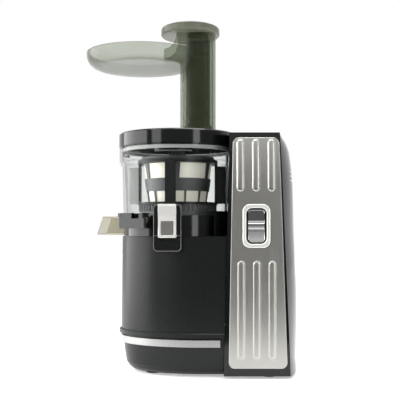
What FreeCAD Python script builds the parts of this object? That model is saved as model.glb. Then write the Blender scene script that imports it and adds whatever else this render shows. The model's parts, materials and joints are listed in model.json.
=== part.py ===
"""Vertical single-auger juicer: parametric model, millimetres, +Z up.

The origin is on the table plane at the centre of the machine's footprint box. +X points from
the juice end towards the switch column and the rear cover, -Y towards the user.
"""
import FreeCAD, Part
import math
import os
import re

import Sketcher
from FreeCAD import Placement, Rotation, Vector

doc = FreeCAD.newDocument("juicer")
sheet = doc.addObject("Spreadsheet::Sheet", "d")

# Driving dimensions: alias, value and what it is.
DIMS = [
    ("axis_x", -17.0, "auger axis from the footprint centre"),
    ("base_cx", 14.0, "centre of the base's rounded end"),
    ("base_a", 101.0, "base half length at the bottom of the upper body"),
    ("base_b", 69.6, "base half width at the bottom of the upper body"),
    ("base_draft", 1.6, "inward draft of the upper body at its top"),
    ("base_top", 165.2, "top of the base"),
    ("wall", 2.8, "housing wall"),
    ("foot_h", 3.2, "height of the rubber feet"),
    ("foot_r", 9.0, "foot radius"),
    ("band_low", 36.4, "bottom of the bright band"),
    ("band_high", 44.6, "top of the bright band"),
    ("lip_top", 52.8, "top of the ledge above the band"),
    ("lip_out", 2.6, "how far the ledge stands out"),
    ("gap", 0.3, "assembly gap between neighbouring mouldings"),
    ("col_left_low", 38.0, "column left edge at the table"),
    ("col_left_high", 45.0, "column left edge at the top"),
    ("col_right_low", 115.6, "column rear edge at the table"),
    ("col_right_high", 103.4, "column rear edge at the top"),
    ("col_half", 72.0, "column half width"),
    ("col_top", 286.4, "top of the column"),
    ("col_bend_z", 255.9, "height where the lines of the column's faces meet"),
    ("col_bend_r", 300.0, "radius of that bend"),
    ("col_lean", 6.0, "how far the faces lean in at the top"),
    ("cap_thick", 3.4, "thickness of the column's top cap"),
    ("scoop_r", 75.0, "radius of the column's hollow around the bowl"),
    ("panel_thick", 1.6, "metal side panel"),
    ("panel_low", 12.0, "bottom of the side panel"),
    ("panel_high", 280.4, "top of the side panel"),
    ("panel_left_low", 43.6, "panel left edge at its bottom"),
    ("panel_left_high", 48.6, "panel left edge at its top"),
    ("panel_right_low", 112.2, "panel right edge at its bottom"),
    ("panel_right_high", 102.6, "panel right edge at its top"),
    ("panel_corner", 7.5, "corner radius of the panel"),
    ("rib_pitch", 18.0, "spacing of the pressed ribs"),
    ("rib_half", 4.3, "half width of a pressed rib"),
    ("rib_rise", 1.5, "height of a pressed rib"),
    ("rib_mid_high", 75.4, "middle rib of the upper group"),
    ("rib_mid_low", 76.4, "middle rib of the lower group"),
    ("switch_x", 75.8, "centre of the switch"),
    ("switch_z", 177.3, "centre of the switch"),
    ("switch_w", 23.4, "switch opening width"),
    ("switch_h", 40.6, "switch opening height"),
    ("bezel_w", 32.0, "switch frame width"),
    ("bezel_h", 50.4, "switch frame height"),
    ("bezel_rise", 2.0, "how far the switch frame stands out"),
    ("bowl_r_low", 67.0, "bowl outer radius at its floor"),
    ("bowl_r_high", 68.8, "bowl outer radius below its rim"),
    ("bowl_wall", 2.6, "bowl wall"),
    ("foot_step", 1.7, "how far the bowl's foot steps in behind its collar"),
    ("collar_top", 190.0, "top of the collar around the bowl's foot"),
    ("bowl_bottom", 174.6, "underside of the clear bowl"),
    ("bowl_floor", 180.6, "inside floor of the bowl"),
    ("bead_low", 251.0, "bottom of the bowl's rim bead"),
    ("bead_high", 255.6, "top of the bowl's rim bead"),
    ("rim_r", 72.2, "outer radius of the bowl's rim"),
    ("rim_top", 273.8, "top of the bowl's rim"),
    ("lid_r", 72.6, "outer radius of the lid"),
    ("lid_top", 291.0, "top of the lid"),
    ("lid_skirt", 272.6, "bottom of the lid's skirt"),
    ("tube_x", 8.1, "centre of the feed tube"),
    ("tube_w", 43.6, "feed tube outside, along X"),
    ("tube_d", 55.0, "feed tube outside, along Y"),
    ("tube_corner", 17.0, "feed tube corner radius"),
    ("tube_wall", 2.6, "feed tube wall"),
    ("tube_top", 412.4, "top of the feed tube"),
    ("tube_bottom", 276.0, "bottom of the feed tube"),
    ("tray_rim", 391.6, "rim of the tray"),
    ("tray_left", -129.8, "far end of the tray"),
    ("push_w", 30.0, "pusher body along X"),
    ("push_d", 42.0, "pusher body along Y"),
    ("push_bottom", 297.0, "bottom of the pusher"),
    ("push_flange", 413.0, "underside of the pusher's flange"),
    ("total_top", 422.4, "top of the pusher"),
    ("flange_x", -1.4, "centre of the pusher's flange"),
    ("flange_rx", 36.2, "pusher flange half length"),
    ("flange_ry", 42.0, "pusher flange half width"),
    ("strain_r_high", 44.0, "strainer radius at its top"),
    ("strain_r_low", 36.0, "strainer radius at its bottom"),
    ("strain_low", 199.4, "bottom of the strainer cone"),
    ("strain_high", 262.0, "top of the strainer cone"),
    ("brush_r", 61.0, "outer radius of the wiper blades"),
    ("brush_low", 203.0, "bottom of the wiper blades"),
    ("brush_high", 252.0, "top of the wiper blades"),
    ("ring_r", 46.0, "outer radius of the wiper's gear ring"),
    ("mesh_m", 1.25, "module of the wiper gears"),
    ("auger_teeth", 14.0, "auger gear teeth"),
    ("idler_teeth", 25.0, "idler gear teeth"),
    ("ring_teeth", 64.0, "wiper ring gear teeth"),
    ("shaft_r", 5.0, "drive shaft radius"),
    ("latch_x", -27.3, "centre of the latches"),
    ("latch_pin_y", 69.6, "latch pin from the middle plane"),
    ("latch_pin_z", 166.0, "latch pin height"),
    ("seat_w", 32.0, "latch seat width"),
    ("seat_low", 148.0, "bottom of the latch seat"),
    ("seat_high", 202.0, "top of the latch seat"),
    ("seat_y", 70.8, "outer face of the latch seat"),
    ("lever_w", 21.0, "latch lever width"),
    ("hook_w", 12.0, "latch hook width"),
    ("gate_reach", 78.0, "mouth of the juice spout from the auger axis"),
    ("gate_pivot_r", 72.6, "gate pivot from the auger axis"),
    ("gate_pivot_z", 190.0, "gate pivot height"),
]
ALIASES = {name for name, _, _ in DIMS}
for row, (name, value, meaning) in enumerate(DIMS, start=1):
    sheet.set(f"A{row}", name)
    sheet.set(f"B{row}", str(value))
    sheet.setAlias(f"B{row}", name)
    sheet.set(f"C{row}", meaning)
doc.recompute()

NODES = []


def ex(text):
    """A FreeCAD expression, with each alias of the sheet written as d.alias."""
    return re.sub(r"[A-Za-z_]\w*", lambda m: "d." + m[0] if m[0] in ALIASES else m[0], str(text))


def val(text):
    """The number that an expression on the sheet gives."""
    return float(sheet.evalExpression(ex(text)))


def at(obj, x="0", y="0", z="0", axis=None, angle=0.0):
    """Places an object, its position bound to the sheet."""
    turn = Rotation(Vector(*axis), angle) if axis else Rotation()
    obj.Placement = Placement(Vector(val(x), val(y), val(z)), turn)
    for letter, text in zip("xyz", (x, y, z)):
        obj.setExpression(f"Placement.Base.{letter}", ex(text))
    return obj


def node(obj, label):
    """Marks an object as a finished sub-part with its own name."""
    obj.Label = label
    NODES.append(obj)
    return obj


def box(name, lx, ly, lz, x="0", y="0", z="0"):
    """A box whose x and y are its centre and whose z is its bottom."""
    obj = doc.addObject("Part::Box", name)
    for prop, text in zip(("Length", "Width", "Height"), (lx, ly, lz)):
        obj.setExpression(prop, ex(text))
    return at(obj, f"({x}) - ({lx}) / 2", f"({y}) - ({ly}) / 2", z)


def cyl(name, r, h, x="0", y="0", z="0", axis=None, angle=0.0):
    """A cylinder that starts at x, y, z."""
    obj = doc.addObject("Part::Cylinder", name)
    obj.setExpression("Radius", ex(r))
    obj.setExpression("Height", ex(h))
    return at(obj, x, y, z, axis, angle)


def cut(name, base, *tools):
    """base less every tool."""
    for i, tool in enumerate(tools):
        obj = doc.addObject("Part::Cut", name if i == len(tools) - 1 else f"{name}_step")
        obj.Base, obj.Tool = base, tool
        base = obj
    return base


def fuse(name, *shapes):
    """All shapes as one."""
    obj = doc.addObject("Part::MultiFuse", name)
    obj.Shapes = list(shapes)
    obj.Refine = True
    return obj


def common(name, *shapes):
    """What all shapes share."""
    obj = doc.addObject("Part::MultiCommon", name)
    obj.Shapes = list(shapes)
    return obj


def feature(name, shape):
    """A Part::Feature for a form that neither sketches nor primitives give."""
    obj = doc.addObject("Part::Feature", name)
    obj.Shape = shape
    return obj


def sketch(body, role, points):
    """A closed, fully constrained polygon on one of the body's origin planes."""
    sk = body.newObject("Sketcher::SketchObject", "Profile")
    sk.AttachmentSupport = ([o for o in body.Origin.OriginFeatures if o.Role == role][0], "")
    sk.MapMode = "FlatFace"
    spots = [Vector(val(a), val(b), 0) for a, b in points]
    count = len(spots)
    for i, spot in enumerate(spots):
        sk.addGeometry(Part.LineSegment(spot, spots[(i + 1) % count]), False)
    for i in range(count):
        sk.addConstraint(Sketcher.Constraint("Coincident", i, 2, (i + 1) % count, 1))
    for i, (a, b) in enumerate(points):
        for kind, text, value in (("DistanceX", a, spots[i].x), ("DistanceY", b, spots[i].y)):
            k = sk.addConstraint(Sketcher.Constraint(kind, -1, 1, i, 1, value))
            sk.setExpression(f"Constraints[{k}]", ex(text))
    return sk


def lathe(name, points, x="axis_x", y="0", z="0"):
    """A turned body: (radius, height) points about a vertical axis."""
    body = doc.addObject("PartDesign::Body", name)
    sk = sketch(body, "XZ_Plane", points)
    turn = body.newObject("PartDesign::Revolution", "Turn")
    turn.Profile = sk
    turn.ReferenceAxis = (sk, ["V_Axis"])
    turn.Angle = 360
    return at(body, x, y, z)


def ring(name, r_out, r_in, h, x="axis_x", y="0", z="0"):
    """A plain ring or washer."""
    return lathe(name, [(r_in, "0"), (r_out, "0"), (r_out, h), (r_in, h)], x, y, z)


def prism(name, role, points, length, x="0", y="0", z="0", corners=None, spin=0.0, pick=None):
    """A padded body, centred on its sketch plane, with its upright corners rounded.

    corners is the corner radius, pick says which corners get it (all of them without it) and
    spin turns the finished body about Z.
    """
    body = doc.addObject("PartDesign::Body", name)
    sk = sketch(body, role, points)
    pad = body.newObject("PartDesign::Pad", "Pad")
    pad.Profile = sk
    pad.setExpression("Length", ex(length))
    pad.SideType = "Symmetric"
    doc.recompute()
    if corners:
        across = {"XY_Plane": Vector(0, 0, 1), "XZ_Plane": Vector(0, 1, 0), "YZ_Plane": Vector(1, 0, 0)}
        names = []
        for i, edge in enumerate(pad.Shape.Edges, start=1):
            along = edge.tangentAt(edge.FirstParameter)
            if abs(along.dot(across[role])) > 0.999 and (not pick or pick(edge.CenterOfMass)):
                names.append(f"Edge{i}")
        fillet = body.newObject("PartDesign::Fillet", "Corners")
        fillet.Base = (pad, names)
        fillet.setExpression("Radius", ex(corners))
    return at(body, x, y, z, (0, 0, 1), spin)


def plate(name, w, d, h, x="0", y="0", z="0", corners=None):
    """A flat plate with rounded corners: x and y are its centre and z its bottom."""
    half_w, half_d = f"({w}) / 2", f"({d}) / 2"
    outline = [(f"-{half_w}", f"-{half_d}"), (half_w, f"-{half_d}"), (half_w, half_d), (f"-{half_w}", half_d)]
    return prism(name, "XY_Plane", outline, h, x, y, f"({z}) + ({h}) / 2", corners)


SPOUT_TURN = 230.0
CHUTE_TURN = 156.0
PRESSURE = math.radians(25.0)


def half_outline(grow, z, x_end):
    """The base's rounded end as a half ellipse, closed by straight sides at x_end."""
    centre = Vector(val("base_cx"), 0, z)
    a = val("base_a") + grow
    b = val("base_b") + grow
    arc = Part.ArcOfEllipse(Part.Ellipse(centre, a, b), math.pi / 2, 3 * math.pi / 2)
    near, far = Vector(x_end, -b, z), Vector(x_end, b, z)
    lines = [(arc.EndPoint, near), (near, far), (far, arc.StartPoint)]
    return Part.Wire([arc.toShape()] + [Part.makeLine(p, q) for p, q in lines])


def end_solid(name, levels, x_end=50.0):
    """A solid through the base outline at several levels of (height, growth)."""
    wires = [half_outline(val(grow), val(z), x_end) for z, grow in levels]
    return feature(name, Part.makeLoft(wires, True, True))


def gear_wire(teeth, module, top, root, slack, phase):
    """Outline of an involute gear; top and root are tooth heights in modules."""
    pitch_r = teeth * module / 2
    base_r = pitch_r * math.cos(PRESSURE)
    tip_r = pitch_r + top * module
    root_r = pitch_r - root * module
    half_pitch = math.pi / (2 * teeth) - slack / (2 * pitch_r)
    flank = []
    for i in range(5):
        r = max(root_r, base_r) + (tip_r - max(root_r, base_r)) * i / 4
        roll = math.acos(base_r / r) if r > base_r else 0.0
        turn = half_pitch + math.tan(PRESSURE) - PRESSURE - math.tan(roll) + roll
        flank.append((r, turn))
    if base_r > root_r:
        flank.insert(0, (root_r, flank[0][1]))
    points = []
    for tooth in range(int(teeth)):
        middle = math.radians(phase) + 2 * math.pi * tooth / teeth
        for r, turn in flank:
            points.append(Vector(r * math.cos(middle - turn), r * math.sin(middle - turn), 0))
        for r, turn in reversed(flank):
            points.append(Vector(r * math.cos(middle + turn), r * math.sin(middle + turn), 0))
    return Part.makePolygon(points + points[:1])


def circle_wire(r):
    """A full circle about the origin."""
    return Part.Wire(Part.makeCircle(r))


def gear_blank(teeth, module, width, bore, phase=0.0):
    """A spur gear with a round bore, standing on the origin."""
    wires = [gear_wire(teeth, module, 0.8, 1.05, 0.14, phase)]
    if bore:
        wires.append(circle_wire(bore))
    return Part.makeFace(wires, "Part::FaceMakerBullseye").extrude(Vector(0, 0, width))


def ring_gear_blank(teeth, module, width, outside, phase=0.0):
    """An internal gear, standing on the origin."""
    wires = [circle_wire(outside), gear_wire(teeth, module, 1.05, 0.8, -0.14, phase)]
    return Part.makeFace(wires, "Part::FaceMakerBullseye").extrude(Vector(0, 0, width))


def meshed(phase_a, teeth_a, teeth_b, way):
    """Phase that lets gear b, lying in the direction way from gear a, mesh with it."""
    pitch_a, pitch_b = 360.0 / teeth_a, 360.0 / teeth_b
    lead = ((way - phase_a) / pitch_a) % 1.0
    return way + 180.0 - pitch_b * (0.5 - lead)


def meshed_ring(phase_a, teeth_a, teeth_ring, way):
    """Phase of a ring gear around gear a, which lies in the direction way from its centre."""
    pitch_a, pitch_ring = 360.0 / teeth_a, 360.0 / teeth_ring
    lead = ((way - phase_a) / pitch_a) % 1.0
    return way - pitch_ring * lead


def spin(obj, angle, x="axis_x", y="0", z="0"):
    """Turns an object about the vertical line through x, y."""
    return at(obj, x, y, z, (0, 0, 1), angle)


def oval(name, cx, rx, ry, low, high, edge):
    """A flat oval disc with rounded edges, its long half width along Y."""
    centre = Vector(val(cx), 0, val(low))
    curve = Part.Ellipse(centre + Vector(0, val(ry), 0), centre + Vector(val(rx), 0, 0), centre)
    disc = Part.Face(Part.Wire(curve.toShape())).extrude(Vector(0, 0, val(high) - val(low)))
    rims = [e for e in disc.Edges if len(e.Vertexes) == 1]
    return feature(name, disc.makeFillet(edge, rims))


# --- base ---------------------------------------------------------------------------------------
def column_slab(name, inset):
    """The column's side outline padded across the machine, pulled in by inset at its left."""
    points = [
        (f"col_left_low + ({inset})", "foot_h"),
        ("col_right_low", "foot_h"),
        ("col_right_high", "col_top"),
        (f"col_left_high + ({inset})", "col_top"),
    ]
    return prism(name, "XZ_Plane", points, "col_half * 2 + 20")


def lean_slab(name, inset):
    """The column's front outline, its faces bending in near the top, pulled in by inset."""
    low, high = f"(col_half - ({inset}))", f"(col_half - col_lean - ({inset}))"
    points = [
        (f"-{low}", "foot_h"),
        (low, "foot_h"),
        (low, "col_bend_z"),
        (high, "col_top"),
        (f"-{high}", "col_top"),
        (f"-{low}", "col_bend_z"),
    ]

    def bend(spot):
        return abs(spot.z - val("col_bend_z")) < 1

    return prism(name, "YZ_Plane", points, "280", corners="col_bend_r", pick=bend)


column_block = common("ColumnBlock", column_slab("ColumnSide", "0"), lean_slab("ColumnFace", "panel_thick"))
base_clear = column_slab("BaseClear", "-gap")

upper = end_solid("BaseUpper", [("lip_top - 1", "0"), ("base_top", "-base_draft")])
ledge_levels = [("lip_top - 5.4", "lip_out"), ("lip_top - 1.2", "lip_out"), ("lip_top", "lip_out - 1.4")]
ledge = end_solid("BaseLedge", ledge_levels)
hollow = end_solid("BaseHollow", [("lip_top - 6", "-wall"), ("base_top - 3", "-wall - base_draft")], 60.0)
deck_hole = cyl("DeckHole", "11", "12", "axis_x", "0", "base_top - 6")
node(cut("BaseHousing", fuse("BaseShell", upper, ledge), hollow, deck_hole, base_clear), "base_housing")

skirt_levels = [
    ("foot_h", "-14"),
    ("foot_h + 3.6", "-9.6"),
    ("foot_h + 8.8", "-6.4"),
    ("28", "-3.8"),
    ("band_low - 0.4", "-3.2"),
    ("lip_top - 5.7", "-3.2"),
]
cavity_levels = [
    ("foot_h - 1", "-17"),
    ("foot_h + 3.6", "-12.8"),
    ("foot_h + 8.8", "-9.4"),
    ("lip_top - 5", "-6.2"),
]
skirt = end_solid("SkirtShell", skirt_levels)
skirt_cavity = end_solid("SkirtCavity", cavity_levels, 60.0)
node(cut("Skirt", skirt, skirt_cavity, column_slab("SkirtClear", "-gap")), "base_skirt")

band = end_solid("Band", [("band_low", "0.3"), ("band_high", "0.3")], 34.0)
band_bore = end_solid("BandBore", [("band_low - 1", "-3.15"), ("band_high + 1", "-3.15")], 36.0)
node(cut("TrimStrip", band, band_bore), "trim_strip")

SCREW_SPOTS = [("-20", "40"), ("-20", "-40"), ("60", "56"), ("60", "-56")]
plate_end = end_solid("PlateEnd", [("foot_h", "-17.4"), ("foot_h + 2.4", "-17.4")], 43.0)
plate_rear = box("PlateRear", "66", "128", "2.4", "75", "0", "foot_h")
plate_holes = fuse("PlateHoles", *[cyl("PlateHole", "1.7", "6", x, y, "foot_h - 2") for x, y in SCREW_SPOTS])
node(cut("BasePlate", fuse("PlateSheet", plate_end, plate_rear), plate_holes), "base_plate")

foot_profile = [
    ("0", "0"),
    ("foot_r - 0.8", "0"),
    ("foot_r", "0.8"),
    ("foot_r", "foot_h - 0.02"),
    ("0", "foot_h - 0.02"),
]
FOOT_SPOTS = [("-46", "22"), ("-46", "-22"), ("92", "48"), ("92", "-48")]
feet = [lathe("Foot", foot_profile, x, y) for x, y in FOOT_SPOTS]
node(fuse("Feet", *feet), "rubber_feet")

screw_profile = [("0", "0"), ("3.2", "0"), ("3.2", "1.6"), ("1.6", "1.62"), ("1.6", "9"), ("0", "10")]
screws = [lathe("Screw", screw_profile, x, y, "foot_h - 1.62") for x, y in SCREW_SPOTS]
node(fuse("Screws", *screws), "base_screws")

# --- column -------------------------------------------------------------------------------------
scoop = cyl("Scoop", "scoop_r", "140", "axis_x", "0", "base_top")
room = common("RoomBlock", column_slab("RoomSide", "wall"), lean_slab("RoomFace", "panel_thick + wall"))
room_keep = cyl("RoomKeep", "scoop_r + wall", "160", "axis_x", "0", "base_top - wall")
cap_space = box("CapSpace", "200", "200", "20", "80", "0", "col_top - cap_thick - 0.02")
hole_w, hole_h, hole_low = "bezel_w - 4.4", "bezel_h - 4.4", "switch_z - bezel_h / 2 + 2.2"
switch_hole = box("SwitchHole", hole_w, "20", hole_h, "switch_x", "-col_half", hole_low)
plate_way = box("PlateWay", "8", "105.2", "3", "40", "0", "foot_h - 0.3")
case_way = box("CaseWay", "16", "79.6", "48.4", "37.2", "6", "116.4")
column_room = cut("Room", room, room_keep)
column_ways = [column_room, cap_space, switch_hole, plate_way, case_way]
column_shell = cut("ColumnShell", column_block, scoop, *column_ways)
saddle_ring = ring("SaddleRing", "scoop_r + 0.2", "bowl_r_low + 2.8", "29.5", z="base_top + 0.3")
saddle = common("Saddle", saddle_ring, box("SaddleReach", "60", "160", "60", "57", "0", "base_top"))
node(fuse("ColumnHousing", column_shell, saddle), "column_housing")

cap_keep = box("CapKeep", "200", "200", "20", "80", "0", "col_top - cap_thick")
node(cut("TopCap", common("CapBlock", column_block, cap_keep), scoop), "column_cap")

COVER_SPINE = [(3.2, 128.8), (33.0, 129.3), (134.0, 127.9), (200.0, 125.6), (244.0, 123.6), (262.0, 121.3),
               (275.0, 117.6), (282.0, 112.4), (286.4, 105.8)]


def face_half(z, inset):
    """Half width of the column's faces at a height."""
    start = val("col_bend_z") * 2 - val("col_top")
    setback = max(0.0, z - start) ** 2 / (val("col_top") - start) ** 2 * val("col_lean")
    return val("col_half") - inset - setback


def cover_form(inset, low, high, edge_shift):
    """The rear cover's bulged form through its spine."""
    left_low, left_high = val("col_right_low"), val("col_right_high")
    wires = []
    for z, x_mid in COVER_SPINE:
        level = min(max(z, low), high)
        share = (level - val("foot_h")) / (val("col_top") - val("foot_h"))
        edge = left_low + (left_high - left_low) * share + edge_shift
        half = face_half(level, 1.8 + inset)
        arc = Part.Arc(Vector(edge, -half, level), Vector(x_mid - inset, 0, level), Vector(edge, half, level))
        wires.append(Part.Wire([arc.toShape(), Part.makeLine(arc.EndPoint, arc.StartPoint)]))
    return Part.makeLoft(wires, True, False)


cover = feature("CoverForm", cover_form(0.0, 3.2, 286.4, 0.3))
cover_room = feature("CoverRoom", cover_form(2.6, 2.6, 283.4, -0.6))
vents = [box("Vent", "16", "84", "2.2", "122", "0", z) for z in ("242", "236.6", "231.2")]
gland_hole = cyl("GlandHole", "7.1", "30", "110", "0", "24", (0, 1, 0), 90)
node(cut("RearCover", cover, cover_room, *vents, gland_hole), "rear_cover")

gland_profile = [("3.6", "0"), ("9", "0"), ("9", "1.4"), ("7", "1.5"), ("7", "8"), ("3.6", "8")]
gland = lathe("Gland", gland_profile, "121.5", "0", "24")
node(at(gland, "121.5", "0", "24", (0, 1, 0), 90), "cord_gland")

panel_outline = [
    ("panel_left_low", "panel_low"),
    ("panel_right_low", "panel_low"),
    ("panel_right_high", "panel_high"),
    ("panel_left_high", "panel_high"),
]
frame_low = "switch_z - bezel_h / 2"
for side, label in ((-1, "front_panel"), (1, "far_panel")):
    middle = f"{side} * col_half"
    sheet_form = common(
        "PanelSheet",
        prism("PanelSide", "XZ_Plane", panel_outline, "30", y=middle, corners="panel_corner"),
        lean_slab("PanelFace", "0"),
    )
    ribs = []
    for mid, low, high in (("rib_mid_high", "217.4", "278"), ("rib_mid_low", "22.4", "136.8")):
        for step in (-1, 0, 1):
            name = f"{mid} + {step} * rib_pitch"
            left, right = f"({name} - rib_half)", f"({name} + rib_half)"
            outline = [(left, low), (right, low), (right, high), (left, high)]
            ribs.append(prism("Rib", "XZ_Plane", outline, "30", y=middle, corners="rib_half - 0.05"))
    rib_form = common("PanelRibs", fuse("RibBars", *ribs), lean_slab("RibFace", "-rib_rise"))
    tools = [lean_slab("PanelBack", "panel_thick - 0.02")]
    if side < 0:
        hole_low = f"{frame_low} + 2"
        tools.append(box("PanelHole", "bezel_w - 4", "20", "bezel_h - 4", "switch_x", "-col_half", hole_low))
    node(cut("Panel", fuse("PanelForm", sheet_form, rib_form), *tools), label)

# --- switch -------------------------------------------------------------------------------------
bezel_corners = [
    ("-bezel_w / 2", "-bezel_h / 2"),
    ("bezel_w / 2", "-bezel_h / 2"),
    ("bezel_w / 2", "bezel_h / 2"),
    ("-bezel_w / 2", "bezel_h / 2"),
]
bezel_y = "-col_half - bezel_rise / 2 - 0.02"
bezel = prism("Bezel", "XZ_Plane", bezel_corners, "bezel_rise", "switch_x", bezel_y, "switch_z", "8")
window = box("BezelWindow", "switch_w", "20", "switch_h", "switch_x", "-col_half", "switch_z - switch_h / 2")
node(cut("SwitchFrame", bezel, window), "switch_frame")

switch_low = "switch_z - switch_h / 2"
well_w, well_h = "switch_w + 3.2", "switch_h + 3.2"
well = box("Well", well_w, "22", well_h, "switch_x", "11.1 - col_half", f"{switch_low} - 1.6")
well_room = box("WellRoom", "switch_w", "20", "switch_h", "switch_x", "9 - col_half", switch_low)
well_bore = cyl("WellBore", "1.56", "26", "switch_x - 13", "2 - col_half", "switch_z", (0, 1, 0), 90)
node(cut("SwitchBody", well, well_room, well_bore), "switch_body")

rocker_side = [
    ("-3.4", "-19.3"),
    ("-1.6", "-10"),
    ("-0.9", "0"),
    ("-1.6", "10"),
    ("-3.4", "19.3"),
    ("4", "19.3"),
    ("4", "-19.3"),
]
rocker = prism("RockerBody", "YZ_Plane", rocker_side, "switch_w - 1.8", "switch_x", "2 - col_half", "switch_z")
axle_x = "switch_x - switch_w / 2 - 1"
axle = cyl("RockerAxle", "1.5", "switch_w + 2", axle_x, "2 - col_half", "switch_z", (0, 1, 0), 90)
node(fuse("Rocker", rocker, axle), "switch_rocker")

# --- bowl ---------------------------------------------------------------------------------------
bowl_profile = [
    ("8", "bowl_bottom"),
    ("bowl_r_low - foot_step", "bowl_bottom"),
    ("bowl_r_low - foot_step", "collar_top"),
    ("bowl_r_low + 0.3", "collar_top"),
    ("bowl_r_high", "bead_low"),
    ("bowl_r_high + 1.8", "bead_low + 0.8"),
    ("bowl_r_high + 1.8", "bead_high"),
    ("rim_r", "bead_high + 0.6"),
    ("rim_r", "rim_top"),
    ("rim_r - 2.8", "rim_top"),
    ("rim_r - 2.8", "bead_high + 1.6"),
    ("bowl_r_high - bowl_wall", "bead_high - 0.6"),
    ("bowl_r_low - foot_step - 2.2", "bowl_floor + 1"),
    ("bowl_r_low - foot_step - 3.2", "bowl_floor"),
    ("8", "bowl_floor"),
]
idler_off = "mesh_m * (auger_teeth + idler_teeth) / 2"
boss = ring("Boss", "36", "24", "strain_low - 3.4 - bowl_floor", z="bowl_floor")
boss_clear = cyl("BossClear", "18.4", "30", f"axis_x + {idler_off}", "0", "bowl_floor")
spout_side = [
    ("bowl_r_low - 4", "bowl_bottom"),
    ("gate_reach", "bowl_bottom"),
    ("gate_reach", "bowl_bottom + 12.4"),
    ("bowl_r_low - 1.5", "bowl_bottom + 12.4"),
]
spout = prism("Spout", "XZ_Plane", spout_side, "22", "axis_x", spin=SPOUT_TURN)
spout_bore_side = [
    ("56", "bowl_bottom + 2.4"),
    ("gate_reach + 1", "bowl_bottom + 2.4"),
    ("gate_reach + 1", "bowl_bottom + 10"),
    ("56", "bowl_bottom + 10"),
]
spout_bore = prism("SpoutBore", "XZ_Plane", spout_bore_side, "18", "axis_x", spin=SPOUT_TURN)
chute_x = f"axis_x + 30 * {math.cos(math.radians(CHUTE_TURN)):.5f}"
chute_y = f"30 * {math.sin(math.radians(CHUTE_TURN)):.5f}"
drop = cyl("PulpDrop", "4.6", "40", chute_x, chute_y, "bowl_bottom - 1")
bowl_form = fuse("BowlForm", lathe("BowlShell", bowl_profile), cut("BossForm", boss, boss_clear), spout)
node(cut("Bowl", bowl_form, spout_bore, drop), "bowl")

chute_side = [
    ("22", "base_top + 0.5"),
    ("109", "167"),
    ("100.5", "190"),
    ("bowl_r_low + 2", "190"),
    ("bowl_r_low + 2", "bowl_bottom - 0.1"),
    ("22", "bowl_bottom - 0.1"),
]
chute_room_side = [
    ("24", "base_top + 2.4"),
    ("112", "169"),
    ("103", "188"),
    ("bowl_r_low + 4", "188"),
    ("bowl_r_low + 4", "bowl_bottom + 1"),
    ("24", "bowl_bottom + 1"),
]
chute = prism("Chute", "XZ_Plane", chute_side, "24.8", "axis_x", spin=CHUTE_TURN)
chute_room = prism("ChuteRoom", "XZ_Plane", chute_room_side, "20.8", "axis_x", spin=CHUTE_TURN)
node(cut("PulpChute", chute, chute_room), "pulp_chute")

collar_h = "bowl_bottom - base_top - 0.5"
collar = ring("Collar", "bowl_r_low - 0.1", "bowl_r_low - 8", collar_h, z="base_top + 0.3")
duct_clear_side = [("20", "base_top"), ("80", "base_top"), ("80", "bowl_bottom"), ("20", "bowl_bottom")]
duct_clear = prism("DuctClear", "XZ_Plane", duct_clear_side, "25.4", "axis_x", spin=CHUTE_TURN)
catches = box("Catches", "16", "140.4", "13", "latch_x", "0", "172")
catch_gap = box("CatchGap", "30", "110", "30", "latch_x", "0", "165")
sleeve_r = "bowl_r_low - foot_step + 0.08"
sleeve = ring("Sleeve", "bowl_r_low + 0.2", sleeve_r, "collar_top - bowl_bottom + 0.3", z="bowl_bottom - 0.5")
bowl_keep = cyl("BowlKeep", sleeve_r, "30", "axis_x", "0", "bowl_bottom - 0.2")
catch_blocks = cut("CatchBlocks", catches, catch_gap, bowl_keep)
spout_clear_side = [
    ("60", "bowl_bottom - 0.1"),
    ("80", "bowl_bottom - 0.1"),
    ("80", "bowl_bottom + 12.6"),
    ("60", "bowl_bottom + 12.6"),
]
spout_clear = prism("SpoutClear", "XZ_Plane", spout_clear_side, "22.4", "axis_x", spin=SPOUT_TURN)
collar_form = fuse("CollarForm", collar, sleeve, catch_blocks)
node(cut("BowlCollar", collar_form, duct_clear, spout_clear), "bowl_collar")

seal_profile = [
    ("shaft_r + 0.06", "bowl_bottom - 0.4"),
    ("7.96", "bowl_bottom - 0.4"),
    ("7.96", "bowl_floor + 0.05"),
    ("9.6", "bowl_floor + 0.05"),
    ("9.6", "bowl_floor + 0.9"),
    ("shaft_r + 0.06", "bowl_floor + 0.9"),
]
node(lathe("BowlSeal", seal_profile), "bowl_seal")

# --- juice gate, in the spout's own directions: x outwards, y to its right --------------------------
pin_x, pin_z = "gate_pivot_r", "gate_pivot_z"


def spout_box(name, lx, ly, lz, x, y, z):
    """A box in the spout's directions; x is its inner face, y its centre, z its bottom."""
    x_far, z_far = f"({x}) + ({lx})", f"({z}) + ({lz})"
    side = [(x, z), (x_far, z), (x_far, z_far), (x, z_far)]
    turn = math.radians(SPOUT_TURN)
    off_x = f"axis_x - ({y}) * {math.sin(turn):.6f}"
    off_y = f"({y}) * {math.cos(turn):.6f}"
    return prism(name, "XZ_Plane", side, ly, off_x, off_y, spin=SPOUT_TURN)


def spout_rod(name, r, length):
    """A rod on the gate's pivot line."""
    turn = math.radians(SPOUT_TURN)
    x = f"axis_x + {pin_x} * {math.cos(turn):.6f} + ({length}) / 2 * {math.sin(turn):.6f}"
    y = f"{pin_x} * {math.sin(turn):.6f} - ({length}) / 2 * {math.cos(turn):.6f}"
    way = Vector(-math.sin(turn), math.cos(turn), 0)
    rod = cyl(name, r, length, x, y, pin_z)
    rod.Placement = Placement(rod.Placement.Base, Rotation(Vector(0, 0, 1), way))
    return rod


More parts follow.
